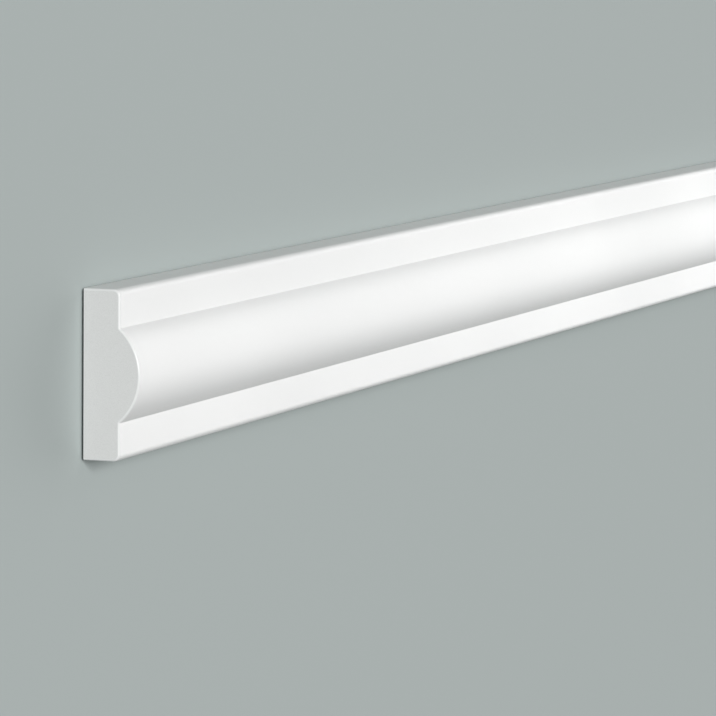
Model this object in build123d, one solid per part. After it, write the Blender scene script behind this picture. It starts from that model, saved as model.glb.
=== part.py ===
"""Straight polystyrene moulding: a rounded bead between two flat bands, with a flat back for glue.

The strip lies on its back. X runs along its length, Y across its face and Z out of its back.
The origin is the middle of the back face.
"""

from build123d import *
import os

# Driving dimensions, in millimetres
STOCK_LENGTH = 2000.0  # one length of stock, cut square at both ends
BAND_HEIGHT = 9.0  # each flat band, from the strip's outer edge to the bead
BAND_THICKNESS = 9.0  # from the back to the flat bands
BEAD_WIDTH = 22.0  # across the bead, where it meets the bands
BEAD_RISE = 5.0  # crown of the bead above the bands
OUTER_ARRIS_RADIUS = 1.6  # rounding along the outer front edges
QUIRK_RADIUS = 0.3  # rounding left by the die in the corners beside the bead
END_ARRIS_RADIUS = 0.5  # easing round the front and side edges of each cut end

# Places worked out from the driving dimensions
HALF_BEAD = BEAD_WIDTH / 2
HALF_FACE = HALF_BEAD + BAND_HEIGHT
CROWN_THICKNESS = BAND_THICKNESS + BEAD_RISE
SAME_PLACE = 1e-6  # corners closer than this are one place


def band_corners(profile):
    """The section's corners along the front of the bands, in order across the face."""
    lowest = BAND_THICKNESS - SAME_PLACE
    highest = BAND_THICKNESS + SAME_PLACE
    return profile.vertices().filter_by_position(Axis.Y, lowest, highest).sort_by(Axis.X)


def section():
    """The outline that the die gives the strip, on its own plane: X across the face and Y out of the back."""
    bands_and_back = Polyline(
        (HALF_BEAD, BAND_THICKNESS),
        (HALF_FACE, BAND_THICKNESS),
        (HALF_FACE, 0),
        (-HALF_FACE, 0),
        (-HALF_FACE, BAND_THICKNESS),
        (-HALF_BEAD, BAND_THICKNESS),
    )
    bead = ThreePointArc((-HALF_BEAD, BAND_THICKNESS), (0, CROWN_THICKNESS), (HALF_BEAD, BAND_THICKNESS))
    profile = make_face(bands_and_back.edges() + bead.edges())
    quirks = band_corners(profile)[1:-1]
    profile = fillet(quirks, QUIRK_RADIUS)
    corners = band_corners(profile)
    return fillet([corners.first, corners.last], OUTER_ARRIS_RADIUS)


def eased_ends(strip):
    """The strip with the edges of each cut end rounded over, apart from the back edge, which stays sharp."""
    back_face = strip.faces().sort_by(Axis.Z).first
    cut_faces = strip.faces().filter_by(Axis.X)
    exposed_edges = cut_faces.edges() - back_face.edges()
    return fillet(exposed_edges, END_ARRIS_RADIUS)


def moulding():
    """The whole strip."""
    strip = extrude(Plane.YZ * section(), amount=STOCK_LENGTH / 2, both=True)
    return eased_ends(strip)


os.makedirs("parts", exist_ok=True)
export_step(moulding(), "parts/moulding.step")
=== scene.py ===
"""Looks of a straight polystyrene moulding that lies on its back on a pale floor.

Metres, in the part's own frame: X along the strip, Y across its face, Z out of its back.
The near end, which the camera looks at, is the one at the lowest X.
"""

import math

import bpy
from mathutils import Matrix, Vector


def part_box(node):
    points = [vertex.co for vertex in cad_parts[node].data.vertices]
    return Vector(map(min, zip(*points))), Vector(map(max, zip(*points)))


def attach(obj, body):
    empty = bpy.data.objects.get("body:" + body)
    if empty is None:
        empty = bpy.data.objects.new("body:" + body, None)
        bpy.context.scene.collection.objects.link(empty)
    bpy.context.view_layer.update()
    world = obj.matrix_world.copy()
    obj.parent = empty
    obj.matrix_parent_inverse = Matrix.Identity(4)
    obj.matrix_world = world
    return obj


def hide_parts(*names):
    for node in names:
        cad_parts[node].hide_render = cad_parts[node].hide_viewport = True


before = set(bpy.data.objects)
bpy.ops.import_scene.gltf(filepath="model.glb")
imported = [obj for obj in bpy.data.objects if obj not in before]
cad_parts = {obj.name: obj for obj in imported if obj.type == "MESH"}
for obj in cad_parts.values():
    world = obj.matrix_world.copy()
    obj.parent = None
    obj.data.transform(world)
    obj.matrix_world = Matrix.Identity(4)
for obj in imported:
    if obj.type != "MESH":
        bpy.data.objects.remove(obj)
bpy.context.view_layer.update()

MM = 0.001

# The strip's section, with its overall sizes taken from the frame, whose origin is the middle of the back
STRIP_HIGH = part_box("moulding")[1]
HALF_LENGTH = STRIP_HIGH.x
HALF_FACE = STRIP_HIGH.y
CROWN_THICKNESS = STRIP_HIGH.z
BAND_HEIGHT = 9.0 * MM
BAND_THICKNESS = 9.0 * MM
OUTER_ARRIS_RADIUS = 1.6 * MM
QUIRK_RADIUS = 0.3 * MM
END_ARRIS_RADIUS = 0.5 * MM

# How finely the mesh follows the section's curves and the strip's length
BEAD_STEPS = 64
OUTER_ARRIS_STEPS = 16
QUIRK_STEPS = 6
END_ARRIS_STEPS = 8
LENGTH_STEPS = 80

# Colours of the finishes, linear
SKIN_WHITE = (0.875, 0.875, 0.868)
SKIN_SHADE = (0.850, 0.851, 0.845)
# The arris colours are whiter than the skin's to paint a highlight on the rim of each cut end; the two
# differ at random in patches
ARRIS_HIGHLIGHT_WHITE = (0.955, 0.955, 0.950)
ARRIS_HIGHLIGHT_DULL = (0.920, 0.920, 0.914)
FOAM_WHITE = (0.865, 0.864, 0.855)
# The greyer colour in the sawn cells' hollows is painted shade
FOAM_PIT_SHADE = (0.770, 0.768, 0.760)

# Gloss of the finishes: roughness from the smoothest patches to the dullest, then strength of reflection
SKIN_ROUGHNESS = (0.44, 0.46)
ARRIS_ROUGHNESS = (0.28, 0.36)
FOAM_ROUGHNESS = (0.62, 0.72)
FINISH_IOR = 1.5
SKIN_SPECULAR = 0.4
ARRIS_SPECULAR = 0.8

# Grain of the finishes: sizes in metres, and a cell's rounded edge as a share of its size
SKIN_CELL = 0.55 * MM
SKIN_CELL_EDGE = 0.6
SKIN_CELL_DEPTH = 0.004 * MM
SKIN_CELL_STRENGTH = 0.5
ARRIS_CELL_STRENGTH = 0.4
FOAM_CELL = 0.22 * MM
FOAM_CELL_EDGE = 0.35
FOAM_PIT_DEPTH = 0.03 * MM
FOAM_PIT_STRENGTH = 0.35
DIE_LINE_WIDTH = 0.6 * MM
DIE_LINE_LENGTH = 0.67
DIE_LINE_DETAIL = 3.0
DIE_LINE_DEPTH = 0.006 * MM
DIE_LINE_STRENGTH = 0.6
SKIN_DRIFT = 0.12
FOAM_DRIFT = 0.015
DRIFT_DETAIL = 2.0
DRIFT_SPREAD = (0.3, 0.7)  # the noise between these becomes the full range of a patch

# Floor, backdrop, lamps and camera
FLOOR_COLOUR = (0.475, 0.525, 0.515)
FLOOR_ROUGHNESS = 0.9
FLOOR_SPECULAR = 0.2
FLOOR_SIDE = 80.0
BEDDING_GAP = 0.7 * MM  # the line of shade under a strip that lies on a floor
BACKDROP_GLOW = 0.12  # the backdrop's share of the light that falls on the strip
LIT_ALONG = 250.0 * MM  # the lamps' aim, measured from the near end
AIM_ALONG = 192.94 * MM  # the picture's middle, measured from the near end
AIM_ACROSS = -13.58 * MM
CAMERA_DISTANCE = 1333.7 * MM
CAMERA_SWING = math.radians(70.81)  # from square above the face, round towards the near end
CAMERA_LEAN = math.radians(5.607)  # towards the upper edge
CAMERA_ROLL = math.radians(0.4635)
CAMERA_LENS = 250.3  # millimetres on Blender's own sensor width


def arc_points(centre, radius, first, last, steps, hollow=False):
    """Points (y, z, facing) on an arc; facing is the surface's angle from +Z towards +Y.

    A hollow arc faces its own centre, as in the corner beside the bead.
    """
    side = -radius if hollow else radius
    points = []
    for step in range(steps + 1):
        facing = first + (last - first) * step / steps
        y = centre[0] + side * math.sin(facing)
        z = centre[1] + side * math.cos(facing)
        points.append((y, z, facing))
    return points


def upper_half_of_section():
    """The section from the bead's crown to the back of the upper edge."""
    half_bead = HALF_FACE - BAND_HEIGHT
    rise = CROWN_THICKNESS - BAND_THICKNESS
    bead_radius = (half_bead**2 + rise**2) / (2 * rise)
    bead_middle = CROWN_THICKNESS - bead_radius
    quirk_z = BAND_THICKNESS + QUIRK_RADIUS
    quirk_y = math.sqrt((bead_radius + QUIRK_RADIUS) ** 2 - (quirk_z - bead_middle) ** 2)
    bead_end = math.atan2(quirk_y, quirk_z - bead_middle)
    bead = arc_points((0, bead_middle), bead_radius, 0, bead_end, BEAD_STEPS // 2)
    quirk = arc_points((quirk_y, quirk_z), QUIRK_RADIUS, bead_end, 0, QUIRK_STEPS, hollow=True)
    arris_middle = (HALF_FACE - OUTER_ARRIS_RADIUS, BAND_THICKNESS - OUTER_ARRIS_RADIUS)
    outer_arris = arc_points(arris_middle, OUTER_ARRIS_RADIUS, 0, math.pi / 2, OUTER_ARRIS_STEPS)
    back_corner = (HALF_FACE, 0, math.pi / 2)
    return bead + quirk[1:] + outer_arris + [back_corner]


def whole_section():
    """The section from the back of the lower edge, across the front, to the back of the upper edge."""
    upper = upper_half_of_section()
    lower = [(-y, z, -facing) for y, z, facing in reversed(upper[1:])]
    return lower + upper


def stations():
    """(x, inset, lean) of each ring along the strip: at the ends the rings round the arris over."""
    first_half = []
    for step in range(END_ARRIS_STEPS + 1):
        lean = math.pi / 2 * (1 - step / END_ARRIS_STEPS)
        along = END_ARRIS_RADIUS * (1 - math.sin(lean))
        inset = END_ARRIS_RADIUS * (1 - math.cos(lean))
        first_half.append((along - HALF_LENGTH, inset, -lean))
    plain_length = 2 * (HALF_LENGTH - END_ARRIS_RADIUS)
    plain = []
    for step in range(1, LENGTH_STEPS):
        x = END_ARRIS_RADIUS - HALF_LENGTH + plain_length * step / LENGTH_STEPS
        plain.append((x, 0, 0))
    second_half = [(-x, inset, -lean) for x, inset, lean in reversed(first_half)]
    return first_half + plain + second_half


def ring_point(section_point, station):
    """Place and outward normal of a section's point at a station."""
    y, z, facing = section_point
    x, inset, lean = station
    across = math.sin(facing)
    out = math.cos(facing)
    place = Vector((x, y - inset * across, z - inset * out))
    normal = Vector((math.sin(lean), math.cos(lean) * across, math.cos(lean) * out))
    return place, normal


def moulding_strip(skin, arris, sawn):
    """The strip as one closed mesh: its skin, its back and its two sawn ends, with exact normals."""
    section = whole_section()
    rings = stations()
    per_ring = len(section)
    places, outward = [], []
    for station in rings:
        for section_point in section:
            place, normal = ring_point(section_point, station)
            places.append(place)
            outward.append(normal)

    faces, corner_normals, finishes = [], [], []

    def add_face(corners, normals, finish):
        faces.append(corners)
        corner_normals.extend(normals)
        finishes.append(finish)

    skin_slot, arris_slot, sawn_slot = range(3)
    last_plain_ring = len(rings) - END_ARRIS_STEPS - 1
    for ring in range(len(rings) - 1):
        here = ring * per_ring
        there = here + per_ring
        finish = skin_slot if END_ARRIS_STEPS <= ring < last_plain_ring else arris_slot
        for point in range(per_ring - 1):
            corners = (here + point, there + point, there + point + 1, here + point + 1)
            add_face(corners, [outward[corner] for corner in corners], finish)
        back = (here, here + per_ring - 1, there + per_ring - 1, there)
        add_face(back, [Vector((0, 0, -1))] * len(back), skin_slot)
    near_end = tuple(range(per_ring))
    far_end = tuple(reversed(range(len(places) - per_ring, len(places))))
    add_face(near_end, [Vector((-1, 0, 0))] * per_ring, sawn_slot)
    add_face(far_end, [Vector((1, 0, 0))] * per_ring, sawn_slot)

    mesh = bpy.data.meshes.new("moulding_strip")
    mesh.from_pydata(places, [], faces)
    for material in (skin, arris, sawn):
        mesh.materials.append(material)
    for face, finish in zip(mesh.polygons, finishes):
        face.material_index = finish
        face.use_smooth = True
    mesh.normals_split_custom_set(corner_normals)
    strip = bpy.data.objects.new("moulding_strip", mesh)
    bpy.context.scene.collection.objects.link(strip)
    return strip


def add_node(tree, kind, **settings):
    """A new node with its properties set."""
    node = tree.nodes.new(kind)
    for name, value in settings.items():
        setattr(node, name, value)
    return node


def effect_group(name, inputs, outputs):
    """A shader node group with named number inputs and outputs, and its two end nodes."""
    group = bpy.data.node_groups.new(name, "ShaderNodeTree")
    for socket_name, start_value in inputs.items():
        socket = group.interface.new_socket(socket_name, in_out="INPUT", socket_type="NodeSocketFloat")
        socket.default_value = start_value
    for socket_name in outputs:
        group.interface.new_socket(socket_name, in_out="OUTPUT", socket_type="NodeSocketFloat")
    return group, add_node(group, "NodeGroupInput"), add_node(group, "NodeGroupOutput")


def sized_coordinates(tree, size_socket):
    """Object coordinates counted in steps of the given size."""
    coordinates = add_node(tree, "ShaderNodeTexCoord")
    per_metre = add_node(tree, "ShaderNodeMath", operation="DIVIDE")
    per_metre.inputs[0].default_value = 1.0
    tree.links.new(size_socket, per_metre.inputs[1])
    scaled = add_node(tree, "ShaderNodeVectorMath", operation="SCALE")
    tree.links.new(coordinates.outputs["Object"], scaled.inputs["Vector"])
    tree.links.new(per_metre.outputs["Value"], scaled.inputs["Scale"])
    return scaled.outputs["Vector"]


def foam_cells_group():
    """The foam's closed cells.

    Hollow runs from 0 at a cell's edge to 1 in its middle, and Tone differs from cell to cell.
    """
    inputs = {"Cell Size": FOAM_CELL, "Edge Width": FOAM_CELL_EDGE}
    group, start, end = effect_group("foam_cells", inputs, ("Hollow", "Tone"))
    cell_coordinates = sized_coordinates(group, start.outputs["Cell Size"])
    edges = add_node(group, "ShaderNodeTexVoronoi", feature="DISTANCE_TO_EDGE")
    edges.inputs["Scale"].default_value = 1.0
    group.links.new(cell_coordinates, edges.inputs["Vector"])
    hollow = add_node(group, "ShaderNodeMapRange", interpolation_type="SMOOTHSTEP")
    group.links.new(edges.outputs["Distance"], hollow.inputs["Value"])
    group.links.new(start.outputs["Edge Width"], hollow.inputs["From Max"])
    group.links.new(hollow.outputs["Result"], end.inputs["Hollow"])
    tones = add_node(group, "ShaderNodeTexVoronoi", feature="F1")
    tones.inputs["Scale"].default_value = 1.0
    group.links.new(cell_coordinates, tones.inputs["Vector"])
    one_tone = add_node(group, "ShaderNodeSeparateColor")
    group.links.new(tones.outputs["Color"], one_tone.inputs["Color"])
    group.links.new(one_tone.outputs["Red"], end.inputs["Tone"])
    return group


def tone_drift_group():
    """Soft patches, 0 to 1, of the given size, for slow changes of tone and sheen."""
    group, start, end = effect_group("tone_drift", {"Patch Size": SKIN_DRIFT}, ("Patch",))
    patch_coordinates = sized_coordinates(group, start.outputs["Patch Size"])
    patches = add_node(group, "ShaderNodeTexNoise")
    patches.inputs["Scale"].default_value = 1.0
    patches.inputs["Detail"].default_value = DRIFT_DETAIL
    group.links.new(patch_coordinates, patches.inputs["Vector"])
    spread = add_node(group, "ShaderNodeMapRange", interpolation_type="SMOOTHSTEP")
    spread.inputs["From Min"].default_value, spread.inputs["From Max"].default_value = DRIFT_SPREAD
    group.links.new(patches.outputs["Fac"], spread.inputs["Value"])
    group.links.new(spread.outputs["Result"], end.inputs["Patch"])
    return group


def placed_group(tree, group, **values):
    """The group as a node of this material, with its own values."""
    node = add_node(tree, "ShaderNodeGroup", node_tree=group)
    for name, value in values.items():
        node.inputs[name.replace("_", " ")].default_value = value
    return node


def ranged(tree, value_socket, low, high):
    """A 0 to 1 value stretched to run from low to high."""
    node = add_node(tree, "ShaderNodeMapRange")
    node.inputs["To Min"].default_value = low
    node.inputs["To Max"].default_value = high
    tree.links.new(value_socket, node.inputs["Value"])
    return node.outputs["Result"]


def mixed_colours(tree, share_socket, first, second):
    """The first colour turning into the second as the share goes from 0 to 1."""
    node = add_node(tree, "ShaderNodeMix", data_type="RGBA")
    node.inputs["A"].default_value = (*first, 1.0)
    node.inputs["B"].default_value = (*second, 1.0)
    tree.links.new(share_socket, node.inputs["Factor"])
    return node.outputs["Result"]


def bumped(tree, height_socket, depth, strength, under=None):
    """A bump of the given depth, over another bump if there is one."""
    node = add_node(tree, "ShaderNodeBump")
    node.inputs["Strength"].default_value = strength
    node.inputs["Distance"].default_value = depth
    tree.links.new(height_socket, node.inputs["Height"])
    if under is not None:
        tree.links.new(under, node.inputs["Normal"])
    return node.outputs["Normal"]


def new_material(name):
    """An empty node material, its tree and its Principled shader."""
    material = bpy.data.materials.new(name)
    material.use_nodes = True
    tree = material.node_tree
    return material, tree, tree.nodes["Principled BSDF"]


def finish_shader(tree, shader, colour, roughness, normal):
    """Feeds what changes over a finish to its shader, and sets the gloss that all of them share."""
    tree.links.new(colour, shader.inputs["Base Color"])
    tree.links.new(roughness, shader.inputs["Roughness"])
    tree.links.new(normal, shader.inputs["Normal"])
    shader.inputs["IOR"].default_value = FINISH_IOR


def drawn_lines(tree):
    """Lines drawn along the strip by the die: noise stretched far along X."""
    coordinates = add_node(tree, "ShaderNodeTexCoord")
    stretched = add_node(tree, "ShaderNodeMapping")
    stretched.inputs["Scale"].default_value = (1 / DIE_LINE_LENGTH, 1 / DIE_LINE_WIDTH, 1 / DIE_LINE_WIDTH)
    tree.links.new(coordinates.outputs["Object"], stretched.inputs["Vector"])
    lines = add_node(tree, "ShaderNodeTexNoise")
    lines.inputs["Scale"].default_value = 1.0
    lines.inputs["Detail"].default_value = DIE_LINE_DETAIL
    tree.links.new(stretched.outputs["Vector"], lines.inputs["Vector"])
    return lines.outputs["Fac"]


def extruded_skin(foam_cells, tone_drift):
    """Smooth satin white skin, with faint die lines and the foam's cells just showing through."""
    material, tree, shader = new_material("extruded_skin")
    patch = placed_group(tree, tone_drift, Patch_Size=SKIN_DRIFT).outputs["Patch"]
    cells = placed_group(tree, foam_cells, Cell_Size=SKIN_CELL, Edge_Width=SKIN_CELL_EDGE)
    colour = mixed_colours(tree, patch, SKIN_WHITE, SKIN_SHADE)
    roughness = ranged(tree, patch, *SKIN_ROUGHNESS)
    cell_normal = bumped(tree, cells.outputs["Hollow"], SKIN_CELL_DEPTH, SKIN_CELL_STRENGTH)
    normal = bumped(tree, drawn_lines(tree), DIE_LINE_DEPTH, DIE_LINE_STRENGTH, cell_normal)
    finish_shader(tree, shader, colour, roughness, normal)
    shader.inputs["Specular IOR Level"].default_value = SKIN_SPECULAR
    return material


def eased_arris_highlight(foam_cells, tone_drift):
    """The rubbed-down edge of a cut end: dense foam, smoother than the skin, and coloured whiter than it as
    a painted highlight on the rim.
    """
    material, tree, shader = new_material("eased_arris_highlight")
    patch = placed_group(tree, tone_drift, Patch_Size=FOAM_DRIFT).outputs["Patch"]
    cells = placed_group(tree, foam_cells, Cell_Size=FOAM_CELL, Edge_Width=SKIN_CELL_EDGE)
    # Whiter than the skin: a painted highlight on the rim, in patches that differ at random
    colour = mixed_colours(tree, patch, ARRIS_HIGHLIGHT_WHITE, ARRIS_HIGHLIGHT_DULL)
    roughness = ranged(tree, patch, *ARRIS_ROUGHNESS)
    normal = bumped(tree, cells.outputs["Hollow"], SKIN_CELL_DEPTH, ARRIS_CELL_STRENGTH)
    finish_shader(tree, shader, colour, roughness, normal)
    shader.inputs["Specular IOR Level"].default_value = ARRIS_SPECULAR
    return material


def sawn_foam(foam_cells, tone_drift):
    """Foam laid open by the saw: matte, with a fine grain of cut cells whose hollows are coloured greyer as
    painted shade, more in some cells than in others.
    """
    material, tree, shader = new_material("sawn_foam")
    patch = placed_group(tree, tone_drift, Patch_Size=FOAM_DRIFT).outputs["Patch"]
    cells = placed_group(tree, foam_cells, Cell_Size=FOAM_CELL, Edge_Width=FOAM_CELL_EDGE)
    # The cells' hollows take the greyer colour, by a share that differs at random from cell to cell:
    # painted shade
    pit_shade = add_node(tree, "ShaderNodeMath", operation="MULTIPLY")
    tree.links.new(cells.outputs["Hollow"], pit_shade.inputs[0])
    tree.links.new(cells.outputs["Tone"], pit_shade.inputs[1])
    colour = mixed_colours(tree, pit_shade.outputs["Value"], FOAM_WHITE, FOAM_PIT_SHADE)
    roughness = ranged(tree, patch, *FOAM_ROUGHNESS)
    sunk = ranged(tree, cells.outputs["Hollow"], 1.0, 0.0)
    normal = bumped(tree, sunk, FOAM_PIT_DEPTH, FOAM_PIT_STRENGTH)
    finish_shader(tree, shader, colour, roughness, normal)
    return material


def pale_floor():
    """A wide plain floor, a hair below the strip's back."""
    material, _, shader = new_material("floor_paint")
    shader.inputs["Base Color"].default_value = (*FLOOR_COLOUR, 1.0)
    shader.inputs["Roughness"].default_value = FLOOR_ROUGHNESS
    shader.inputs["Specular IOR Level"].default_value = FLOOR_SPECULAR
    half = FLOOR_SIDE / 2
    corners = [(-half, -half, 0), (half, -half, 0), (half, half, 0), (-half, half, 0)]
    mesh = bpy.data.meshes.new("floor")
    mesh.from_pydata(corners, [], [(0, 1, 2, 3)])
    mesh.materials.append(material)
    floor = bpy.data.objects.new("floor", mesh)
    floor.location.z = -BEDDING_GAP
    bpy.context.scene.collection.objects.link(floor)


def pale_backdrop():
    """The floor's colour all round for the camera and in reflections, and a low even light on the strip."""
    world = bpy.data.worlds.new("backdrop")
    world.use_nodes = True
    bpy.context.scene.world = world
    tree = world.node_tree
    seen = tree.nodes["Background"]
    seen.inputs["Color"].default_value = (*FLOOR_COLOUR, 1.0)
    seen.inputs["Strength"].default_value = 1.0
    glow = add_node(tree, "ShaderNodeBackground")
    glow.inputs["Color"].default_value = (1.0, 1.0, 1.0, 1.0)
    glow.inputs["Strength"].default_value = BACKDROP_GLOW
    path = add_node(tree, "ShaderNodeLightPath")
    looked_at = path.outputs["Is Camera Ray"]
    for kind in ("Is Glossy Ray", "Is Transmission Ray"):
        either = add_node(tree, "ShaderNodeMath", operation="MAXIMUM")
        tree.links.new(looked_at, either.inputs[0])
        tree.links.new(path.outputs[kind], either.inputs[1])
        looked_at = either.outputs["Value"]
    chosen = add_node(tree, "ShaderNodeMixShader")
    tree.links.new(looked_at, chosen.inputs["Fac"])
    tree.links.new(glow.outputs["Background"], chosen.inputs[1])
    tree.links.new(seen.outputs["Background"], chosen.inputs[2])
    tree.links.new(chosen.outputs["Shader"], tree.nodes["World Output"].inputs["Surface"])


def soft_lamp(name, bearing, height, distance, width, drop, watts):
    """A soft box turned to the lit stretch of the strip.

    Bearing runs from +X towards +Y and height up from the floor, in degrees. The drop is its upright side.
    """
    bearing_angle = math.radians(bearing)
    height_angle = math.radians(height)
    towards = Vector((
        math.cos(height_angle) * math.cos(bearing_angle),
        math.cos(height_angle) * math.sin(bearing_angle),
        math.sin(height_angle),
    ))
    light = bpy.data.lights.new(name, "AREA")
    light.shape = "RECTANGLE"
    light.size = width
    light.size_y = drop
    light.energy = watts
    lamp = bpy.data.objects.new(name, light)
    lamp.location = Vector((LIT_ALONG - HALF_LENGTH, 0, 0)) + towards * distance
    lamp.rotation_euler = (-towards).to_track_quat("-Z", "Y").to_euler()
    bpy.context.scene.collection.objects.link(lamp)


def studio_lamps():
    """A high key beyond the near end, and two panels beyond the far end for the sheen on the skin."""
    soft_lamp("key", bearing=163, height=49.5, distance=15.0, width=6.0, drop=6.0, watts=1790)
    soft_lamp("low_panel", bearing=0, height=10, distance=12.0, width=8.4, drop=4.2, watts=225)
    soft_lamp("high_panel", bearing=8, height=20, distance=12.0, width=8.4, drop=4.2, watts=285)


def camera_over_near_end():
    """Looks down along the strip from beyond its near end, with the upper edge at the picture's top."""
    look = Vector((
        math.sin(CAMERA_SWING) * math.cos(CAMERA_LEAN),
        -math.sin(CAMERA_LEAN),
        -math.cos(CAMERA_SWING) * math.cos(CAMERA_LEAN),
    ))
    level_right = look.cross(Vector((0, 1, 0))).normalized()
    level_up = level_right.cross(look)
    right = math.cos(CAMERA_ROLL) * level_right + math.sin(CAMERA_ROLL) * level_up
    up = math.cos(CAMERA_ROLL) * level_up - math.sin(CAMERA_ROLL) * level_right
    aim = Vector((AIM_ALONG - HALF_LENGTH, AIM_ACROSS, 0))
    lens = bpy.data.cameras.new("camera")
    lens.lens = CAMERA_LENS
    camera = bpy.data.objects.new("camera", lens)
    turned = Matrix((right, up, -look)).transposed().to_4x4()
    camera.matrix_world = Matrix.Translation(aim - look * CAMERA_DISTANCE) @ turned
    bpy.context.scene.collection.objects.link(camera)
    bpy.context.scene.camera = camera


foam_cells = foam_cells_group()
tone_drift = tone_drift_group()
strip = moulding_strip(
    extruded_skin(foam_cells, tone_drift),
    eased_arris_highlight(foam_cells, tone_drift),
    sawn_foam(foam_cells, tone_drift),
)
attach(strip, "root")
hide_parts("moulding")

pale_floor()
pale_backdrop()
studio_lamps()
camera_over_near_end()
bpy.context.scene.view_settings.view_transform = "Standard"
